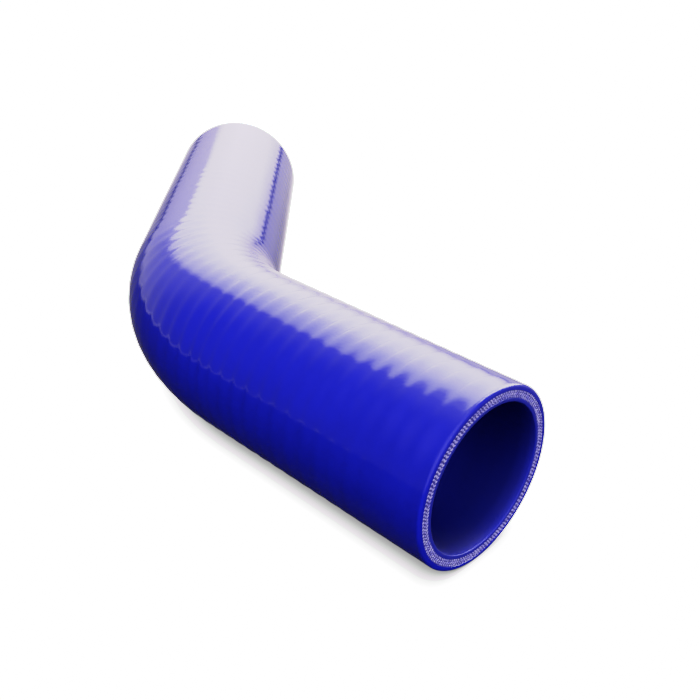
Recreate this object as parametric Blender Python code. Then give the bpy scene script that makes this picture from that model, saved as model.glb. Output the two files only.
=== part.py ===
"""A 45 degree silicone elbow hose with two straight legs, moulded in one piece.

Lengths are in metres and +Z is up. The hose lies on its side on the plane z = 0. Its near
leg runs along Y with the mouth facing -Y, and the bend turns the far leg towards +X.

The wall is one bonded laminate: a thin liner, a stack of woven plies and an outer cover.
The plies show only on the two trimmed end faces. A tape wound round the cover while it
cures leaves one shallow helical groove, with a low pillow of silicone between its turns,
and the trimming cuts straight through both.
"""
from math import ceil, cos, pi, radians, sin

import bmesh
import bpy
from mathutils import Vector

# Driving dimensions
BORE_DIAMETER = 0.040
WALL_THICKNESS = 0.0045
NEAR_LEG_LENGTH = 0.085
FAR_LEG_LENGTH = 0.104
BEND_ANGLE = radians(45.0)
BEND_RADIUS = 0.071

# The layers that show on the trimmed end faces
LINER_THICKNESS = 0.0010
PLY_STACK_THICKNESS = 0.0020

# The softened outer edge of each mouth
RIM_ROUND_RADIUS = 0.0008

# The helical groove that the curing tape leaves in the cover, and the plain lip at each rim
WRAP_PITCH = 0.0053
WRAP_GROOVE_DEPTH = 0.00020
PLAIN_LIP_WIDTH = 0.0005

# Round the bend the tape runs ahead on the inside and falls behind on the outside
WRAP_LEAN = 0.006
WRAP_LEAN_RUN = 0.024

# How finely the round shapes are divided
SIDES = 32
RIM_ROUND_STEPS = 2
BORE_STEP_ANGLE = radians(5.0)

# One turn of the wrap: the places of its crest, shoulder and groove along the turn, each with
# its share of the groove's depth
WRAP_PROFILE = ((0.0, 0.0), (0.48, 0.16), (0.80, 1.0))

# Sizes that follow
BORE_RADIUS = BORE_DIAMETER / 2
OUTER_RADIUS = BORE_RADIUS + WALL_THICKNESS
PLY_INNER_RADIUS = BORE_RADIUS + LINER_THICKNESS
PLY_OUTER_RADIUS = PLY_INNER_RADIUS + PLY_STACK_THICKNESS
BEND_LENGTH = BEND_RADIUS * BEND_ANGLE
HOSE_LENGTH = NEAR_LEG_LENGTH + BEND_LENGTH + FAR_LEG_LENGTH

# Material slots
SILICONE_SLOT = 0
PLY_SLOT = 1
SMOOTH_SHADING_ANGLE = radians(35.0)


def remove_existing_objects():
    """Clears the scene that the script is run in."""
    for item in list(bpy.data.objects):
        bpy.data.objects.remove(item, do_unlink=True)


def make_material(name, color, roughness):
    """A plain non-metal material."""
    material = bpy.data.materials.new(name)
    material.use_nodes = True
    shader = material.node_tree.nodes["Principled BSDF"]
    shader.inputs["Base Color"].default_value = (*color, 1.0)
    shader.inputs["Roughness"].default_value = roughness
    shader.inputs["Metallic"].default_value = 0.0
    return material


def centreline(distance):
    """The centreline's point, and the level direction towards the inside of the bend."""
    past_near_leg = distance - NEAR_LEG_LENGTH
    heading = min(max(past_near_leg / BEND_RADIUS, 0.0), BEND_ANGLE)
    arc_point = Vector((BEND_RADIUS * (1.0 - cos(heading)), BEND_RADIUS * sin(heading), 0.0))
    straight = min(past_near_leg, 0.0) + max(past_near_leg - BEND_LENGTH, 0.0)
    point = arc_point + straight * Vector((sin(heading), cos(heading), 0.0))
    point.z = OUTER_RADIUS
    return point, Vector((cos(heading), -sin(heading), 0.0))


def wrap_lean(distance):
    """How far the tape runs ahead on the inside of the bend. It fades out along the legs."""
    middle = NEAR_LEG_LENGTH + BEND_LENGTH / 2
    reach = BEND_LENGTH / 2 + WRAP_LEAN_RUN
    away = min(abs(distance - middle) / reach, 1.0)
    return WRAP_LEAN * cos(0.5 * pi * away) ** 2


def surface_point(distance, side, radius):
    """A point of the tube: how far along it, at which of its sides, and how far out."""
    centre, inside = centreline(distance)
    turn = 2.0 * pi * side / SIDES
    return centre + radius * (cos(turn) * inside + sin(turn) * Vector((0.0, 0.0, 1.0)))


def add_ring(mesh, distance, radius):
    """One loop of vertices round the centreline."""
    return [mesh.verts.new(surface_point(distance, side, radius)) for side in range(SIDES)]


def bridge(mesh, first, second, slot=SILICONE_SLOT):
    """Joins two rings with a band of faces."""
    for side in range(SIDES):
        after = (side + 1) % SIDES
        face = mesh.faces.new((first[side], first[after], second[after], second[side]))
        face.material_index = slot


def add_mouth(mesh, face_distance, inward):
    """The flat annular end face and its softened outer edge.

    Returns the ring at the bore and the ring where the plain outside begins. The value
    inward is +1 at the near mouth and -1 at the far one.
    """
    bore_ring = add_ring(mesh, face_distance, BORE_RADIUS)
    ply_inner_ring = add_ring(mesh, face_distance, PLY_INNER_RADIUS)
    ply_outer_ring = add_ring(mesh, face_distance, PLY_OUTER_RADIUS)
    bridge(mesh, bore_ring, ply_inner_ring)
    bridge(mesh, ply_inner_ring, ply_outer_ring, PLY_SLOT)
    previous = ply_outer_ring
    for step in range(RIM_ROUND_STEPS + 1):
        lean = 0.5 * pi * step / RIM_ROUND_STEPS
        distance = face_distance + inward * RIM_ROUND_RADIUS * (1.0 - cos(lean))
        radius = OUTER_RADIUS - RIM_ROUND_RADIUS * (1.0 - sin(lean))
        ring = add_ring(mesh, distance, radius)
        bridge(mesh, previous, ring)
        previous = ring
    return bore_ring, previous


def add_bore(mesh, near_ring, far_ring):
    """The smooth inner wall: straight in the legs, stepped finely round the bend."""
    steps = max(2, ceil(BEND_ANGLE / BORE_STEP_ANGLE))
    rings = [near_ring]
    for step in range(steps + 1):
        distance = NEAR_LEG_LENGTH + BEND_LENGTH * step / steps
        rings.append(add_ring(mesh, distance, BORE_RADIUS))
    rings.append(far_ring)
    for first, second in zip(rings, rings[1:]):
        bridge(mesh, first, second)


def wrap_column(mesh, side):
    """The wrap's vertices along one side of the tube, numbered in winding order.

    The tape's lead carries each side a little further along than the one before it. What
    would lie past the plain lip of either mouth is cut away.
    """
    turns = max(2, round(HOSE_LENGTH / WRAP_PITCH))
    lead = HOSE_LENGTH / turns
    start = RIM_ROUND_RADIUS + PLAIN_LIP_WIDTH
    end = HOSE_LENGTH - start
    column = {}
    for turn in range(-2, turns + 2):
        for step, (place, depth_share) in enumerate(WRAP_PROFILE):
            distance = lead * (turn + place + side / SIDES)
            distance += wrap_lean(distance) * cos(2.0 * pi * side / SIDES)
            if start <= distance <= end:
                radius = OUTER_RADIUS - depth_share * WRAP_GROOVE_DEPTH
                vertex = mesh.verts.new(surface_point(distance, side, radius))
                column[turn * len(WRAP_PROFILE) + step] = vertex
    return column


def add_wrapped_cover(mesh, near_ring, far_ring):
    """The outside between the two mouths, with the tape's groove as a true helix.

    Each side of the tube has its own column of vertices. Neighbouring columns are joined
    along the winding, and what is left at each rim is closed with one face.
    """
    columns = [wrap_column(mesh, side) for side in range(SIDES)]
    for side in range(SIDES):
        after = (side + 1) % SIDES
        turned = len(WRAP_PROFILE) if after == 0 else 0
        left = columns[side]
        right = {row - turned: vertex for row, vertex in columns[after].items()}
        low = max(min(left), min(right))
        high = min(max(left), max(right))
        for row in range(low, high):
            mesh.faces.new((left[row], left[row + 1], right[row + 1], right[row]))
        near_left = [left[row] for row in range(min(left), low + 1)]
        near_right = [right[row] for row in range(low, min(right) - 1, -1)]
        mesh.faces.new([near_ring[side]] + near_left + near_right + [near_ring[after]])
        far_left = [left[row] for row in range(max(left), high - 1, -1)]
        far_right = [right[row] for row in range(high, max(right) + 1)]
        mesh.faces.new([far_ring[side]] + far_left + far_right + [far_ring[after]])


def centre_footprint(mesh):
    """Moves the hose so that the middle of its footprint is at the origin."""
    across = [vertex.co.x for vertex in mesh.verts]
    along = [vertex.co.y for vertex in mesh.verts]
    middle = Vector(((min(across) + max(across)) / 2, (min(along) + max(along)) / 2, 0.0))
    bmesh.ops.translate(mesh, verts=mesh.verts, vec=-middle)


def build_elbow_hose():
    """The whole hose as one closed body."""
    mesh = bmesh.new()
    near_bore, near_outside = add_mouth(mesh, 0.0, 1.0)
    far_bore, far_outside = add_mouth(mesh, HOSE_LENGTH, -1.0)
    add_bore(mesh, near_bore, far_bore)
    add_wrapped_cover(mesh, near_outside, far_outside)
    centre_footprint(mesh)
    bmesh.ops.recalc_face_normals(mesh, faces=mesh.faces)

    data = bpy.data.meshes.new("elbow_hose")
    mesh.to_mesh(data)
    mesh.free()
    data.materials.append(make_material("blue_silicone", (0.020, 0.024, 0.520), 0.22))
    data.materials.append(make_material("woven_ply", (0.300, 0.260, 0.600), 0.85))
    data.shade_smooth()
    data.set_sharp_from_angle(angle=SMOOTH_SHADING_ANGLE)
    hose = bpy.data.objects.new("elbow_hose", data)
    bpy.context.scene.collection.objects.link(hose)
    return hose


remove_existing_objects()
build_elbow_hose()
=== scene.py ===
"""The looks of the blue silicone elbow hose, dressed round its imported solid.

One closed mesh stands for the whole hose: the cover with the wound groove that its curing
tape left, the softened rims, the bore and the two trimmed ends. The woven plies that the
trimming cut through show on each end as rows of yarn ends.

Lengths are in metres. In the studio, azimuths are in degrees from +Y towards +X, and heights
in degrees over eye level.
"""
import math
import random

import bpy
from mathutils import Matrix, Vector, noise


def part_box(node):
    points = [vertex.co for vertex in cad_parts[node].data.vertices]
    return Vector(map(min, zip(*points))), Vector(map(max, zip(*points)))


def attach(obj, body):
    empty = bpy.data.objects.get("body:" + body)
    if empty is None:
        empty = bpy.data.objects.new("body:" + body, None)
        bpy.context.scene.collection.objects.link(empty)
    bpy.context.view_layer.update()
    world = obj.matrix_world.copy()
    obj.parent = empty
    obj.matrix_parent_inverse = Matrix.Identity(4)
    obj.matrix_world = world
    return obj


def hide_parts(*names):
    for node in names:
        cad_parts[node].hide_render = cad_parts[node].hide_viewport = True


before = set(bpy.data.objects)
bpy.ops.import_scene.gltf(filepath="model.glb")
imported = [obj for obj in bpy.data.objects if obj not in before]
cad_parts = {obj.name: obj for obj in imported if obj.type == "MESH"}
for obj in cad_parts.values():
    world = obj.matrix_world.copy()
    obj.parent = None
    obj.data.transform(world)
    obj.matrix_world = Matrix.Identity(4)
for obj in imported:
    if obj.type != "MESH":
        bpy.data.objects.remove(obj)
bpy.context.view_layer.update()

# The frame's node, and the sizes of the hose
HOSE_NODE = "elbow_hose"
BODY = "root"
LOW_CORNER, HIGH_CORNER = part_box(HOSE_NODE)
OUTER_RADIUS = (HIGH_CORNER.z - LOW_CORNER.z) / 2
WALL_THICKNESS = 0.0045
BORE_RADIUS = OUTER_RADIUS - WALL_THICKNESS
NEAR_LEG_LENGTH = 0.085
FAR_LEG_LENGTH = 0.104
BEND_ANGLE = math.radians(45.0)
BEND_RADIUS = 0.071
BEND_LENGTH = BEND_RADIUS * BEND_ANGLE
HOSE_LENGTH = NEAR_LEG_LENGTH + BEND_LENGTH + FAR_LEG_LENGTH
BEND_START = Vector((
    LOW_CORNER.x + OUTER_RADIUS,
    LOW_CORNER.y + NEAR_LEG_LENGTH,
    LOW_CORNER.z + OUTER_RADIUS,
))
UP = Vector((0.0, 0.0, 1.0))

# The hose's material slots
COVER_SLOT = 0
PLY_SLOT = 1
LINER_SLOT = 2

# The trimmed ends: layers, the slightly sunk ply ring and the softened edges
LINER_THICKNESS = 0.0010
PLY_STACK_THICKNESS = 0.0020
PLY_INNER_RADIUS = BORE_RADIUS + LINER_THICKNESS
PLY_OUTER_RADIUS = PLY_INNER_RADIUS + PLY_STACK_THICKNESS
PLY_RECESS = 0.00008
RECESS_SLANT = 0.00005
RIM_ROUND_RADIUS = 0.0007
RIM_ROUND_STEPS = 6
BORE_EDGE_RADIUS = 0.0002
BORE_EDGE_STEPS = 3

# The cover lies a little inside the solid's box, which leaves room for its swells
COVER_RADIUS = OUTER_RADIUS - 0.00010

# The wrap: its turns, with some to spare because each side of the hose meets them at another
# place, the groove's depth, and its strength at places along the hose
WRAP_PITCH = 0.0053
WRAP_TURNS = round(HOSE_LENGTH / WRAP_PITCH)
WRAP_LEAD = HOSE_LENGTH / WRAP_TURNS
SPARE_TURNS = 3
WRAP_GROOVE_DEPTH = 0.000070
WRAP_STRENGTH = ((0.0, 0.62), (0.015, 0.70), (0.040, 1.45), (0.068, 1.45), (0.095, 1.0),
                 (0.122, 1.0), (0.142, 0.35))

# Round the bend the tape runs ahead on the inside and falls behind on the outside
WRAP_LEAN = 0.006
WRAP_LEAN_RUN = 0.024

# One turn of the wrap, a rounded wave: place along the turn, depth as a share
WRAP_PROFILE = ((0.0, 0.53), (0.022, 0.62), (0.08, 0.83), (0.20, 1.0), (0.32, 0.91), (0.44, 0.67),
                (0.56, 0.36), (0.68, 0.10), (0.78, 0.0), (0.89, 0.12), (0.978, 0.44))

# The fine crease that the tape's edge left in the wave's steeper side. It shows over the top of
# the hose, between these angles round it, in degrees from the inside of the bend
CREASE_DEPTH = 0.000026
CREASE_RISES = (52.0, 66.0)
CREASE_FADES = (96.0, 106.0)

# Where the wrap begins and ends, and the length over which it comes in
COVER_START = RIM_ROUND_RADIUS + 0.00012
COVER_END = HOSE_LENGTH - COVER_START
COVER_FADE = 0.0008

# Smooth unevenness of the cover: how much, the length of its features, and its seed
WRAP_STRAY = (0.00065, 0.022, 3.7)
WRAP_CHANGE = (0.7, 0.016, 11.3)
COVER_SWELL = (0.00007, 0.030, 27.1)
COVER_DENTS = (0.000020, 0.005, 41.9)

# The yarn ends: three rows on each trimmed end, as radius, tilt, half length and half width
YARN_ROWS = (
    (PLY_INNER_RADIUS + 0.00036, math.radians(42.0), 0.00050, 0.00025),
    (PLY_INNER_RADIUS + 0.00100, math.radians(-48.0), 0.00044, 0.00023),
    (PLY_INNER_RADIUS + 0.00164, math.radians(35.0), 0.00034, 0.00024),
)
YARN_SPACING = 0.00098
YARN_HEIGHT = 0.00013
YARN_SIDES = 8
YARN_RINGS = 5

# How uneven the yarn ends are: shift as a share of the spacing, tilt, size and radius
YARN_SHIFT = 0.10
YARN_LEAN = 0.20
YARN_SCALE = (0.80, 1.12)
YARN_STRAY = 0.00005

# How finely the round shapes are divided, and the angle that stays a sharp edge
SIDES = 160
BORE_RINGS_PER_LEG = 14
BORE_RINGS_IN_BEND = 36
SHARP_EDGE = math.radians(40.0)

# Painted shade in the bore: the liner's colour darkens with depth, most a few millimetres in, and lightens
# again deep inside: depth and share of the colour
LINER_PAINTED_SHADE = ((0.0, 0.95), (0.0005, 0.70), (0.002, 0.36), (0.005, 0.20), (0.010, 0.18),
               (0.016, 0.22), (0.023, 0.36), (0.030, 0.85), (0.060, 0.85))

# The colours of the silicone, and the dark and the light of the cut cloth
COVER_BLUE = (0.008, 0.0115, 0.66)
LINER_BLUE = (0.013, 0.018, 0.55)
PLY_COLOURS = ((0.030, 0.022, 0.30), (0.065, 0.05, 0.40))
YARN_COLOURS = ((0.22, 0.19, 0.85), (0.55, 0.50, 1.0))

# How light bends in them
SILICONE_IOR = 1.41
CLOTH_IOR = 1.45

# Noise in the materials, as scale, detail and roughness: the clouds in the silicone, its finest
# grain, and the silicone soaked into the cloth. Most of the noise lies within one range
CLOUD_NOISE = (90.0, 4.0, 0.6)
GRAIN_NOISE = (1500.0, 2.0, 0.5)
SOAK_NOISE = (900.0, 2.0, 0.6)
NOISE_LOW = 0.35
NOISE_HIGH = 0.65
GRAIN_HEIGHT = 0.00005
CLOUD_DARKEST = 0.90

# The floor: its size, how far the hose's shade reaches, and the shade's tones by openness
FLOOR_REACH = 5.0
SHADE_REACH = 0.0085
SHADE_SAMPLES = 96
SHADE_TONES = ((0.0, 0.12), (0.15, 0.26), (0.28, 0.44), (0.37, 0.66), (0.48, 0.87), (0.62, 0.97),
               (0.80, 1.0))

# The light that the picture shows as paper white
PAPER_WHITE = 2.9

# The lights on the hose's own colours, which leave no reflections: azimuth, height and width in
# degrees, and strength
SOFT_LIGHTS = (
    ("overhead_light", -147.0, 50.0, 60.0, 1.11),
    ("back_light", 40.0, 35.0, 70.0, 0.25),
    ("table_bounce", 22.0, -50.0, 70.0, 0.37),
)

# What the hose reflects. First the tall softbox behind at the right: its share at each azimuth
# and its glow at each height
KEY_ACROSS = ((0.0, 0.48), (12.0, 0.52), (24.0, 0.68), (36.0, 0.82), (44.0, 1.0), (76.0, 1.0),
              (88.0, 0.0))
KEY_UP = ((0.0, 2.7), (2.0, 2.9), (4.0, 3.4), (6.0, 4.0), (9.0, 5.6), (14.0, 6.6), (19.0, 8.0),
          (24.0, 8.6), (29.0, 9.2), (35.0, 9.6), (46.0, 9.9), (52.0, 9.4), (58.0, 0.8), (60.0, 0.0))

# The softbox's slanted left border: its azimuths at two heights, and how far its blur reaches
KEY_BORDER_HEIGHTS = (13.5, 21.5)
KEY_BORDER_AZIMUTHS = (31.0, 10.0)
KEY_BORDER_BLUR = (-6.5, 4.0)

# The bright light at the right. From the photograph's side only the rims reflect it
STRIP_ACROSS = ((74.0, 0.0), (86.0, 1.0), (116.0, 1.0), (130.0, 0.0))
STRIP_UP = ((-3.0, 0.0), (2.0, 5.0), (6.0, 8.0), (14.0, 12.0), (25.0, 15.0), (64.0, 15.0), (74.0, 0.0))

# The dim wall behind at the left: its glow at each azimuth. From one azimuth to another it
# begins to get brighter upwards, up to twice as bright
PANEL_ACROSS = ((-180.0, 0.12), (-90.0, 0.12), (-50.0, 0.13), (-30.0, 0.18), (-18.0, 0.38),
                (0.0, 0.88), (8.0, 1.05), (90.0, 1.05), (120.0, 0.20), (180.0, 0.12))
PANEL_RISE_AZIMUTHS = (10.0, 22.0)
PANEL_RISE_HEIGHTS = (0.0, 12.0)

# The broad dim reflection of the light over the camera: its place, reach, core and glow
FILL_AZIMUTH = -135.0
FILL_HEIGHT = 45.0
FILL_SPREAD = 70.0
FILL_CORE = 22.0
FILL_GLOW = 1.1

# The table's far edge: how far it lies under eye level at each azimuth, and the blur over it
EDGE_DROP = ((-180.0, 4.0), (24.0, 4.0), (65.0, 1.2), (180.0, 1.2))
EDGE_BLUR = (0.3, 1.3)

# The edge's lit rim at the left, and the brighter ledge on it under the softbox: the glow at
# each azimuth and its share at each height over the edge
EDGE_ACROSS = ((-57.0, 0.0), (-50.0, 0.65), (-40.0, 0.8), (-20.0, 1.1), (0.0, 1.30), (14.0, 0.0))
EDGE_UP = ((-1.6, 0.0), (-1.1, 1.0), (0.0, 1.0), (0.4, 0.0))
LEDGE_ACROSS = ((40.0, 0.0), (48.0, 1.7), (57.0, 1.7), (62.0, 0.15), (66.0, 0.0))
LEDGE_UP = ((-2.6, 0.0), (-1.6, 1.0), (0.3, 1.0), (1.3, 0.0))

# The table's glow under its far edge, and the stronger sheen on it at the right, as above
TABLE_ACROSS = ((-180.0, 0.04), (-60.0, 0.02), (-10.0, 0.02), (0.0, 0.05), (12.0, 0.16), (22.0, 0.40),
                (34.0, 1.10), (44.0, 2.10), (50.0, 1.65), (56.0, 1.05), (62.0, 0.92), (90.0, 0.80),
                (130.0, 0.60), (180.0, 0.08))
TABLE_UP = ((-90.0, 0.0), (-38.0, 0.0), (-25.0, 0.35), (-11.0, 0.95), (-2.6, 1.0), (-1.6, 0.12), (0.0, 0.0))
SHEEN_ACROSS = ((45.0, 0.0), (62.0, 0.45), (80.0, 0.45), (100.0, 0.0))
SHEEN_UP = ((-16.0, 0.0), (-8.0, 0.6), (-2.6, 1.0), (-1.6, 0.0))

# The faint glow of the whole room, and green's share in dim and in bright reflections
ROOM_GLOW = 0.015
GREEN_LEVELS = (0.8, 6.0)
GREEN_SHARES = (0.88, 0.94)

# The picture's tone curves, as light and tone. Green rolls off a little sooner in the lights
TONE_CURVE = ((0.0, 0.0), (0.5, 0.5), (0.66, 0.62), (0.81, 0.672), (1.0, 0.715), (1.4, 0.755),
              (2.0, 0.80), (2.5, 0.83), (2.75, 1.0), (PAPER_WHITE, 1.0))
GREEN_TONE_CURVE = ((0.0, 0.0), (0.45, 0.455), (0.60, 0.585), (0.74, 0.642), (0.91, 0.682),
                    (1.27, 0.718), (1.82, 0.76), (2.28, 0.79), (2.75, 1.0), (PAPER_WHITE, 1.0))

# The camera: where it stands seen from the hose, its place from the start of the bend on the
# floor, and its lens and sensor in millimetres
CAMERA_AZIMUTH = -134.81
CAMERA_HEIGHT = 29.93
CAMERA_X = -0.1439
CAMERA_Y = -0.1825
CAMERA_Z = 0.1583
CAMERA_LENS = 46.63
CAMERA_SENSOR = 36.0


def centreline(distance):
    """The centreline's point, the direction of travel and the direction to the bend's inside."""
    past = distance - NEAR_LEG_LENGTH
    heading = min(max(past / BEND_RADIUS, 0.0), BEND_ANGLE)
    travel = Vector((math.sin(heading), math.cos(heading), 0.0))
    inside = Vector((math.cos(heading), -math.sin(heading), 0.0))
    arc = Vector((BEND_RADIUS * (1.0 - math.cos(heading)), BEND_RADIUS * math.sin(heading), 0.0))
    straight = min(past, 0.0) + max(past - BEND_LENGTH, 0.0)
    return BEND_START + arc + straight * travel, travel, inside


def tube_point(distance, angle, radius):
    """A point at a distance along the hose, an angle round it and a radius out."""
    centre, _, inside = centreline(distance)
    return centre + radius * (math.cos(angle) * inside + math.sin(angle) * UP)


def smoothstep(low, high, value):
    """A share that rises softly from 0 at the low value to 1 at the high one."""
    share = min(max((value - low) / (high - low), 0.0), 1.0)
    return share * share * (3.0 - 2.0 * share)


def level_at(stops, place):
    """A level read off a table of places and levels, straight between them."""
    for (low, low_level), (high, high_level) in zip(stops, stops[1:]):
        if place < high:
            share = max(place - low, 0.0) / (high - low)
            return low_level + share * (high_level - low_level)
    return stops[-1][1]


def uneven(distance, angle, amount, length, seed):
    """Smooth noise over the tube's surface, up to an amount each way, with features of one length."""
    reach = OUTER_RADIUS / length
    place = Vector((reach * math.cos(angle), reach * math.sin(angle) + seed, distance / length))
    return amount * noise.noise(place)


def wrap_lean(distance):
    """How far the tape runs ahead on the inside of the bend."""
    middle = NEAR_LEG_LENGTH + BEND_LENGTH / 2
    reach = BEND_LENGTH / 2 + WRAP_LEAN_RUN
    away = min(abs(distance - middle) / reach, 1.0)
    return WRAP_LEAN * math.cos(0.5 * math.pi * away) ** 2


class MeshMaker:
    """Collects vertices and faces, with a material slot for each face."""

    def __init__(self):
        self.vertices = []
        self.faces = []
        self.slots = []

    def vertex(self, point):
        """Add a vertex and give its number."""
        self.vertices.append(tuple(point))
        return len(self.vertices) - 1

    def face(self, corners, slot=0):
        """Add a face."""
        self.faces.append(corners)
        self.slots.append(slot)

    def ring(self, distance, radius):
        """Add a loop of vertices round the centreline."""
        angles = [2.0 * math.pi * side / SIDES for side in range(SIDES)]
        return [self.vertex(tube_point(distance, angle, radius)) for angle in angles]

    def bridge(self, first, second, slot=0):
        """Join two rings, from the first to the second in the order of the wall's outline."""
        count = len(first)
        for side in range(count):
            after = (side + 1) % count
            self.face((first[side], second[side], second[after], first[after]), slot)

    def build(self, name, materials):
        """Make the piece, which rides on the hose's body."""
        data = bpy.data.meshes.new(name)
        data.from_pydata(self.vertices, [], self.faces)
        for material in materials:
            data.materials.append(material)
        data.polygons.foreach_set("material_index", self.slots)
        data.shade_smooth()
        data.set_sharp_from_angle(angle=SHARP_EDGE)
        piece = bpy.data.objects.new(name, data)
        bpy.context.scene.collection.objects.link(piece)
        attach(piece, BODY)
        return piece


def cover_row_point(side, row):
    """Where one row of the wound cover meets one side of the tube, as distance, angle and depth."""
    turn, step = divmod(row, len(WRAP_PROFILE))
    place, share = WRAP_PROFILE[step]
    angle = 2.0 * math.pi * side / SIDES
    distance = WRAP_LEAD * (turn + place + side / SIDES)
    distance += wrap_lean(distance) * math.cos(angle)
    distance += uneven(distance, angle, *WRAP_STRAY)
    depth = share * WRAP_GROOVE_DEPTH
    if step == 0:
        degrees = math.degrees(angle)
        crease = smoothstep(*CREASE_RISES, degrees) * (1.0 - smoothstep(*CREASE_FADES, degrees))
        depth += CREASE_DEPTH * crease
    return distance, angle, depth


def cover_column(maker, side):
    """The vertices along one side of the tube, for the rows that lie between the two rims."""
    first_row = -SPARE_TURNS * len(WRAP_PROFILE)
    last_row = (WRAP_TURNS + SPARE_TURNS) * len(WRAP_PROFILE)
    column = {}
    for row in range(first_row, last_row):
        distance, angle, depth = cover_row_point(side, row)
        if not COVER_START < distance < COVER_END:
            continue
        fade = smoothstep(0.0, COVER_FADE, distance - COVER_START)
        fade *= smoothstep(0.0, COVER_FADE, COVER_END - distance)
        strength = 1.0 + uneven(distance, angle, *WRAP_CHANGE)
        strength *= level_at(WRAP_STRENGTH, distance)
        sunk = depth * strength
        sunk += uneven(distance, angle, *COVER_SWELL)
        sunk += uneven(distance, angle, *COVER_DENTS)
        column[row] = maker.vertex(tube_point(distance, angle, COVER_RADIUS - sunk * fade))
    return column


def add_wound_cover(maker, near_ring, far_ring):
    """The outside between the rims, with rows of vertices that follow the tape's helix.

    Each column is one side of the tube. Its rows run out one by one at a rim, so the groove is
    cut off square by the trimming, and one face closes what is left there.
    """
    columns = [cover_column(maker, side) for side in range(SIDES)]
    for side in range(SIDES):
        after = (side + 1) % SIDES
        turned = len(WRAP_PROFILE) if after == 0 else 0
        left = columns[side]
        right = {row - turned: index for row, index in columns[after].items()}
        low = max(min(left), min(right))
        high = min(max(left), max(right))
        for row in range(low, high):
            maker.face((left[row], left[row + 1], right[row + 1], right[row]))
        near_edge = [near_ring[side]]
        near_edge += [left[row] for row in range(min(left), low + 1)]
        near_edge += [right[row] for row in range(low, min(right) - 1, -1)]
        maker.face(near_edge + [near_ring[after]])
        far_edge = [left[row] for row in range(high, max(left) + 1)]
        far_edge += [far_ring[side], far_ring[after]]
        far_edge += [right[row] for row in range(max(right), high - 1, -1)]
        maker.face(far_edge)


def end_outline():
    """One trimmed end from the bore out to the cover.

    Each point has its depth, its radius and the material slot of the band that ends there.
    """
    outline = []
    for step in range(BORE_EDGE_STEPS + 1):
        turn = 0.5 * math.pi * step / BORE_EDGE_STEPS
        depth = BORE_EDGE_RADIUS * (1.0 - math.sin(turn))
        outline.append((depth, BORE_RADIUS + BORE_EDGE_RADIUS * (1.0 - math.cos(turn)), LINER_SLOT))
    outline.append((0.0, PLY_INNER_RADIUS - RECESS_SLANT, LINER_SLOT))
    outline.append((PLY_RECESS, PLY_INNER_RADIUS, LINER_SLOT))
    outline.append((PLY_RECESS, (PLY_INNER_RADIUS + PLY_OUTER_RADIUS) / 2, PLY_SLOT))
    outline.append((PLY_RECESS, PLY_OUTER_RADIUS, PLY_SLOT))
    outline.append((0.0, PLY_OUTER_RADIUS + RECESS_SLANT, COVER_SLOT))
    for step in range(RIM_ROUND_STEPS + 1):
        turn = 0.5 * math.pi * step / RIM_ROUND_STEPS
        depth = RIM_ROUND_RADIUS * (1.0 - math.cos(turn))
        outline.append((depth, COVER_RADIUS - RIM_ROUND_RADIUS * (1.0 - math.sin(turn)), COVER_SLOT))
    return outline


def bore_distances():
    """Where the bore's rings stand, closer together in the bend, from the near end to the far."""
    bend_end = NEAR_LEG_LENGTH + BEND_LENGTH
    spans = (
        (BORE_EDGE_RADIUS, NEAR_LEG_LENGTH, BORE_RINGS_PER_LEG),
        (NEAR_LEG_LENGTH, bend_end, BORE_RINGS_IN_BEND),
        (bend_end, HOSE_LENGTH - BORE_EDGE_RADIUS, BORE_RINGS_PER_LEG),
    )
    distances = []
    for first, last, count in spans:
        distances += [first + (last - first) * step / count for step in range(1, count + 1)]
    return distances[:-1]


def build_hose(materials):
    """The hose's wall as one closed mesh."""
    maker = MeshMaker()
    outline = end_outline()
    near_rings = [maker.ring(depth, radius) for depth, radius, _ in outline]
    far_rings = [maker.ring(HOSE_LENGTH - depth, radius) for depth, radius, _ in outline]
    for place in range(1, len(outline)):
        slot = outline[place][2]
        maker.bridge(near_rings[place - 1], near_rings[place], slot)
        maker.bridge(far_rings[place], far_rings[place - 1], slot)
    add_wound_cover(maker, near_rings[-1], far_rings[-1])
    previous = far_rings[0]
    for distance in reversed(bore_distances()):
        following = maker.ring(distance, BORE_RADIUS)
        maker.bridge(previous, following, LINER_SLOT)
        previous = following
    maker.bridge(previous, near_rings[0], LINER_SLOT)
    piece = maker.build("hose_body", materials)
    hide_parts(HOSE_NODE)


def add_yarn_end(maker, centre, along, across, outward, half_length, half_width):
    """One cut yarn end: a small flattened bead."""
    poles = [maker.vertex(centre + outward * YARN_HEIGHT), maker.vertex(centre - outward * YARN_HEIGHT)]
    rings = []
    for ring in range(1, YARN_RINGS):
        tilt = math.pi * ring / YARN_RINGS
        height = math.cos(tilt) * YARN_HEIGHT
        spread = math.sin(tilt)
        points = []
        for side in range(YARN_SIDES):
            turn = 2.0 * math.pi * side / YARN_SIDES
            offset = along * (half_length * spread * math.cos(turn))
            offset += across * (half_width * spread * math.sin(turn))
            points.append(maker.vertex(centre + offset + outward * height))
        rings.append(points)
    for side in range(YARN_SIDES):
        after = (side + 1) % YARN_SIDES
        maker.face((poles[0], rings[0][side], rings[0][after]))
        maker.face((rings[-1][side], poles[1], rings[-1][after]))
    for first, second in zip(rings, rings[1:]):
        maker.bridge(first, second)


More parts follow.
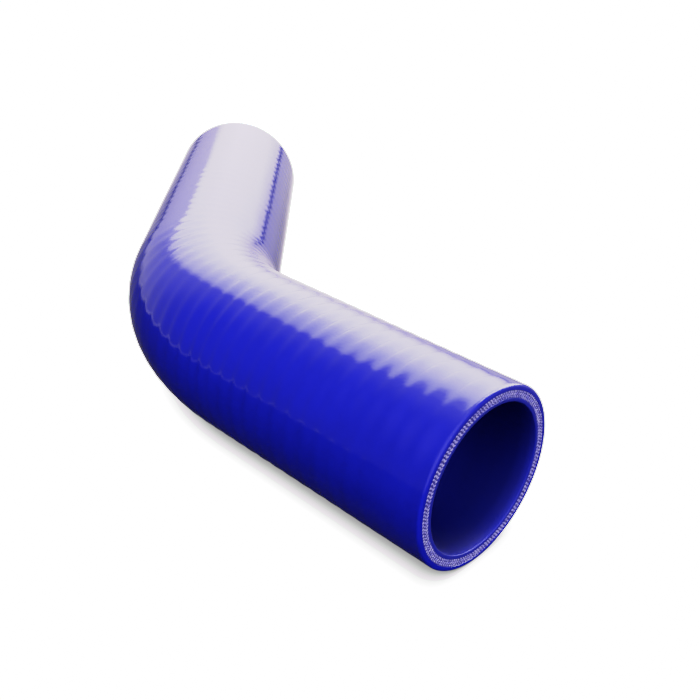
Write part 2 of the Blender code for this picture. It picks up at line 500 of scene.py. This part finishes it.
def build_yarn_ends(name, distance, toward, material):
    """The rows of yarn ends on one trimmed end of the hose."""
    chance = random.Random(name)
    maker = MeshMaker()
    centre, travel, inside = centreline(distance)
    outward = travel * toward
    for row, (radius, tilt, half_length, half_width) in enumerate(YARN_ROWS):
        count = round(2.0 * math.pi * radius / YARN_SPACING)
        for place in range(count):
            shifted = place + 0.5 * (row % 2) + chance.uniform(-YARN_SHIFT, YARN_SHIFT)
            angle = 2.0 * math.pi * shifted / count
            radial = math.cos(angle) * inside + math.sin(angle) * UP
            tangent = -math.sin(angle) * inside + math.cos(angle) * UP
            lean = tilt + chance.uniform(-YARN_LEAN, YARN_LEAN)
            along = math.cos(lean) * tangent + math.sin(lean) * radial
            across = outward.cross(along)
            scale = chance.uniform(*YARN_SCALE)
            reach = radius + chance.uniform(-YARN_STRAY, YARN_STRAY)
            point = centre + radial * reach - outward * PLY_RECESS
            add_yarn_end(maker, point, along, across, outward, half_length * scale, half_width * scale)
    maker.build(name, [material])


class Nodes:
    """A short way to add and link shader nodes."""

    def __init__(self, tree):
        self.tree = tree
        tree.nodes.clear()

    def add(self, kind, settings=(), **inputs):
        """Add a node, with its settings, and its inputs by name."""
        node = self.tree.nodes.new(kind)
        for key, value in dict(settings).items():
            setattr(node, key, value)
        for key, value in inputs.items():
            self.set(node, key.replace("_", " "), value)
        return node

    def set(self, node, key, value):
        """Link another node's output to an input, or give the input a value."""
        socket = node.inputs[int(key)] if key.isdigit() else node.inputs[key]
        if isinstance(value, bpy.types.NodeSocket):
            self.tree.links.new(value, socket)
        else:
            socket.default_value = value

    def math(self, operation, first, second=0.0):
        """One step of arithmetic."""
        node = self.add("ShaderNodeMath", {"operation": operation})
        self.set(node, "0", first)
        self.set(node, "1", second)
        return node.outputs[0]

    def along(self, place, way):
        """How far a point lies along a direction."""
        node = self.add("ShaderNodeVectorMath", {"operation": "DOT_PRODUCT"})
        self.set(node, "0", place)
        self.set(node, "1", tuple(way))
        return node.outputs["Value"]

    def cloud(self, place, scale, detail, roughness):
        """Smooth noise over the object's own coordinates."""
        node = self.add("ShaderNodeTexNoise", Vector=place, Scale=scale, Detail=detail, Roughness=roughness)
        return node.outputs["Fac"]

    def line(self, value, low, high, start=0.0, end=1.0, kind="LINEAR"):
        """Carry a value from one range to another, and hold it at both ends."""
        node = self.add("ShaderNodeMapRange", {"interpolation_type": kind}, Value=value)
        for key, number in (("From Min", low), ("From Max", high), ("To Min", start), ("To Max", end)):
            self.set(node, key, number)
        return node.outputs["Result"]

    def smooth(self, value, low, high, start=0.0, end=1.0):
        """The same with soft ends."""
        return self.line(value, low, high, start, end, "SMOOTHSTEP")

    def ramp(self, value, stops):
        """A colour read off a table of places and colours."""
        node = self.add("ShaderNodeValToRGB", Fac=value)
        elements = node.color_ramp.elements
        for element, (place, colour) in zip(elements, (stops[0], stops[-1])):
            element.position = place
            element.color = (*colour, 1.0)
        for place, colour in stops[1:-1]:
            elements.new(place).color = (*colour, 1.0)
        return node.outputs["Color"]

    def profile(self, value, stops):
        """A level read off a table of places and levels, straight between them."""
        low, high = stops[0][0], stops[-1][0]
        top = max(level for _, level in stops)
        shares = [((place - low) / (high - low), (level / top,) * 3) for place, level in stops]
        return self.math("MULTIPLY", self.ramp(self.line(value, low, high), shares), top)


def new_material(name):
    """An empty material and its nodes."""
    material = bpy.data.materials.new(name)
    material.use_nodes = True
    return material, Nodes(material.node_tree)


def depth_in_bore(nodes, place):
    """How far a point lies inside the hose, from the nearer of its two mouths."""
    near_mouth, near_travel, _ = centreline(0.0)
    far_mouth, far_travel, _ = centreline(HOSE_LENGTH)
    near_depth = nodes.math("SUBTRACT", nodes.along(place, near_travel), near_mouth.dot(near_travel))
    far_depth = nodes.math("SUBTRACT", nodes.along(place, -far_travel), far_mouth.dot(-far_travel))
    return nodes.math("MINIMUM", near_depth, far_depth)


def silicone_material(name, colour, roughness, grain, paint_bore_shade=False):
    """Glossy moulded silicone under a very fine grain, slightly uneven in its colour and gloss.

    For the liner, painted shade darkens the colour towards the inside, where little light reaches the real
    one.
    """
    material, nodes = new_material(name)
    place = nodes.add("ShaderNodeTexCoord").outputs["Object"]
    cloud = nodes.cloud(place, *CLOUD_NOISE)
    fine = nodes.cloud(place, *GRAIN_NOISE)
    deep = tuple(CLOUD_DARKEST * channel for channel in colour)
    tint = nodes.ramp(cloud, ((NOISE_LOW, colour), (NOISE_HIGH, deep)))
    if paint_bore_shade:
        # Painted shade: the liner's colour is scaled down by its depth in the bore
        light = nodes.profile(depth_in_bore(nodes, place), LINER_PAINTED_SHADE)
        dimmed = nodes.add("ShaderNodeVectorMath", {"operation": "SCALE"}, Vector=tint, Scale=light)
        tint = dimmed.outputs["Vector"]
    dull = nodes.line(cloud, 0.3, 0.7, roughness * 0.9, roughness * 1.1)
    bump = nodes.add("ShaderNodeBump", Height=fine, Strength=grain, Distance=GRAIN_HEIGHT)
    shader = nodes.add("ShaderNodeBsdfPrincipled", Roughness=dull, IOR=SILICONE_IOR)
    nodes.set(shader, "Normal", bump.outputs["Normal"])
    nodes.set(shader, "Base Color", tint)
    nodes.add("ShaderNodeOutputMaterial", Surface=shader.outputs["BSDF"])
    return material


def cloth_material(name, dark, light, roughness):
    """Cut reinforcement cloth: matt, with the silicone's blue soaked into it unevenly."""
    material, nodes = new_material(name)
    place = nodes.add("ShaderNodeTexCoord").outputs["Object"]
    soak = nodes.cloud(place, *SOAK_NOISE)
    tint = nodes.ramp(soak, ((NOISE_LOW, dark), (NOISE_HIGH, light)))
    shader = nodes.add("ShaderNodeBsdfPrincipled", Roughness=roughness, IOR=CLOTH_IOR)
    nodes.set(shader, "Base Color", tint)
    nodes.add("ShaderNodeOutputMaterial", Surface=shader.outputs["BSDF"])
    return material


def light_for(tone, curve):
    """The light that a tone curve turns into one tone."""
    for (low_light, low_tone), (high_light, high_tone) in zip(curve, curve[1:]):
        if low_tone <= tone < high_tone:
            return low_light + (high_light - low_light) * (tone - low_tone) / (high_tone - low_tone)
    return PAPER_WHITE


def neutral_light(tone):
    """The light of one grey tone, as a share of the paper's white in each channel."""
    return tuple(light_for(tone, curve) / PAPER_WHITE for curve in (TONE_CURVE, GREEN_TONE_CURVE, TONE_CURVE))


def build_floor():
    """A plain pale floor with a small soft shade where the hose comes near it.

    Light and reflections reach the hose from the studio's own lower half, so the floor is
    left out of both.
    """
    data = bpy.data.meshes.new("floor")
    corners = [(x * FLOOR_REACH, y * FLOOR_REACH, 0.0) for x, y in ((-1, -1), (1, -1), (1, 1), (-1, 1))]
    data.from_pydata(corners, [], [(0, 1, 2, 3)])
    material, nodes = new_material("pale_floor")
    near = nodes.add("ShaderNodeAmbientOcclusion", {"samples": SHADE_SAMPLES}, Distance=SHADE_REACH)
    shade = nodes.ramp(near.outputs["AO"], [(place, neutral_light(tone)) for place, tone in SHADE_TONES])
    shader = nodes.add("ShaderNodeEmission", Color=shade, Strength=PAPER_WHITE)
    nodes.add("ShaderNodeOutputMaterial", Surface=shader.outputs["Emission"])
    data.materials.append(material)
    floor = bpy.data.objects.new("floor", data)
    bpy.context.scene.collection.objects.link(floor)
    floor.visible_glossy = False
    floor.visible_diffuse = False
    floor.visible_shadow = False


def direction(azimuth, height):
    """The way to a place in the studio: azimuth from +Y to +X and height, in degrees."""
    turn, rise = math.radians(azimuth), math.radians(height)
    return Vector((math.sin(turn) * math.cos(rise), math.cos(turn) * math.cos(rise), math.sin(rise)))


def build_lights():
    """The soft lights on the hose's colours."""
    for name, azimuth, height, width, strength in SOFT_LIGHTS:
        data = bpy.data.lights.new(name, "SUN")
        data.energy = math.pi * strength
        data.angle = math.radians(width)
        light = bpy.data.objects.new(name, data)
        light.rotation_euler = direction(azimuth, height).to_track_quat("Z", "Y").to_euler()
        light.visible_glossy = False
        bpy.context.scene.collection.objects.link(light)


def add_upper_half(nodes, toward, azimuth, height, over_edge):
    """What stands over the table: the softbox, the wall and the light over the camera."""
    border = nodes.line(height, *KEY_BORDER_HEIGHTS, *KEY_BORDER_AZIMUTHS)
    key = nodes.smooth(nodes.math("SUBTRACT", azimuth, border), *KEY_BORDER_BLUR)
    key = nodes.math("MULTIPLY", key, nodes.profile(azimuth, KEY_ACROSS))
    key = nodes.math("MULTIPLY", key, nodes.profile(height, KEY_UP))
    rise = nodes.smooth(azimuth, *PANEL_RISE_AZIMUTHS)
    rise = nodes.math("MULTIPLY", rise, nodes.line(height, *PANEL_RISE_HEIGHTS))
    panel = nodes.math("MULTIPLY", nodes.profile(azimuth, PANEL_ACROSS), nodes.math("ADD", rise, 1.0))
    lean = nodes.along(toward, direction(FILL_AZIMUTH, FILL_HEIGHT))
    spread, core = math.cos(math.radians(FILL_SPREAD)), math.cos(math.radians(FILL_CORE))
    fill = nodes.smooth(lean, spread, core, 0.0, FILL_GLOW)
    upper = nodes.math("ADD", nodes.math("MAXIMUM", key, panel), fill)
    return nodes.math("MULTIPLY", upper, nodes.smooth(over_edge, *EDGE_BLUR))


def build_studio():
    """What stands round the hose and is reflected in it. The camera sees white paper instead."""
    world = bpy.data.worlds.new("studio")
    bpy.context.scene.world = world
    world.use_nodes = True
    world.cycles_visibility.diffuse = False
    nodes = Nodes(world.node_tree)
    toward = nodes.add("ShaderNodeTexCoord").outputs["Generated"]
    axes = nodes.add("ShaderNodeSeparateXYZ", Vector=toward).outputs
    azimuth = nodes.math("DEGREES", nodes.math("ARCTAN2", axes["X"], axes["Y"]))
    height = nodes.math("DEGREES", nodes.math("ARCSINE", axes["Z"]))
    over_edge = nodes.math("ADD", height, nodes.profile(azimuth, EDGE_DROP))

    total = nodes.math("ADD", add_upper_half(nodes, toward, azimuth, height, over_edge), ROOM_GLOW)
    bands = (
        (STRIP_ACROSS, height, STRIP_UP),
        (EDGE_ACROSS, over_edge, EDGE_UP),
        (LEDGE_ACROSS, over_edge, LEDGE_UP),
        (TABLE_ACROSS, over_edge, TABLE_UP),
        (SHEEN_ACROSS, over_edge, SHEEN_UP),
    )
    for across, place, up in bands:
        band = nodes.math("MULTIPLY", nodes.profile(azimuth, across), nodes.profile(place, up))
        total = nodes.math("ADD", total, band)

    # A Mix node has sockets for each kind of value under the same names, so they go by number
    seen = nodes.add("ShaderNodeLightPath").outputs["Is Camera Ray"]
    strength = nodes.add("ShaderNodeMix", {"data_type": "FLOAT"})
    nodes.set(strength, "0", seen)
    nodes.set(strength, "2", total)
    nodes.set(strength, "3", PAPER_WHITE)
    green = nodes.line(total, *GREEN_LEVELS, *GREEN_SHARES)
    tinge = nodes.add("ShaderNodeCombineColor", Red=1.0, Green=green, Blue=1.0)
    shade = nodes.add("ShaderNodeMix", {"data_type": "RGBA"})
    nodes.set(shade, "0", seen)
    nodes.set(shade, "6", tinge.outputs["Color"])
    nodes.set(shade, "7", (1.0, 1.0, 1.0, 1.0))
    background = nodes.add("ShaderNodeBackground", Color=shade.outputs[2], Strength=strength.outputs[0])
    nodes.add("ShaderNodeOutputWorld", Surface=background.outputs["Background"])
    world.cycles.sampling_method = "MANUAL"
    world.cycles.sample_map_resolution = 1024


def set_tones():
    """The picture's tone curve: true to the light up to mid tones, then a soft shoulder."""
    settings = bpy.context.scene.view_settings
    settings.view_transform = "Standard"
    settings.look = "None"
    settings.use_curve_mapping = True
    mapping = settings.curve_mapping
    mapping.white_level = (PAPER_WHITE, PAPER_WHITE, PAPER_WHITE)
    for curve, tones in zip(mapping.curves, (TONE_CURVE, GREEN_TONE_CURVE, TONE_CURVE)):
        for light, tone in tones[1:-1]:
            curve.points.new(light / PAPER_WHITE, tone)
        for point in curve.points:
            point.handle_type = "VECTOR"
    mapping.update()


def build_camera():
    """The camera at the photograph's angle: from the front left, looking down."""
    data = bpy.data.cameras.new("camera")
    data.lens = CAMERA_LENS
    data.sensor_width = CAMERA_SENSOR
    data.clip_start = 0.01
    camera = bpy.data.objects.new("camera", data)
    bpy.context.scene.collection.objects.link(camera)
    back = direction(CAMERA_AZIMUTH, CAMERA_HEIGHT)
    camera.rotation_euler = (-back).to_track_quat("-Z", "Y").to_euler()
    camera.location = (BEND_START.x + CAMERA_X, BEND_START.y + CAMERA_Y, CAMERA_Z)
    bpy.context.scene.camera = camera


blue_cover = silicone_material("blue_silicone", COVER_BLUE, roughness=0.10, grain=0.25)
blue_liner = silicone_material("blue_liner", LINER_BLUE, roughness=0.35, grain=0.10, paint_bore_shade=True)
ply_cloth = cloth_material("woven_ply", *PLY_COLOURS, roughness=0.8)
yarn_cloth = cloth_material("yarn_end", *YARN_COLOURS, roughness=0.7)
build_hose([blue_cover, ply_cloth, blue_liner])
build_yarn_ends("yarn_ends_near", 0.0, -1.0, yarn_cloth)
build_yarn_ends("yarn_ends_far", HOSE_LENGTH, 1.0, yarn_cloth)
build_floor()
build_lights()
build_studio()
build_camera()
set_tones()
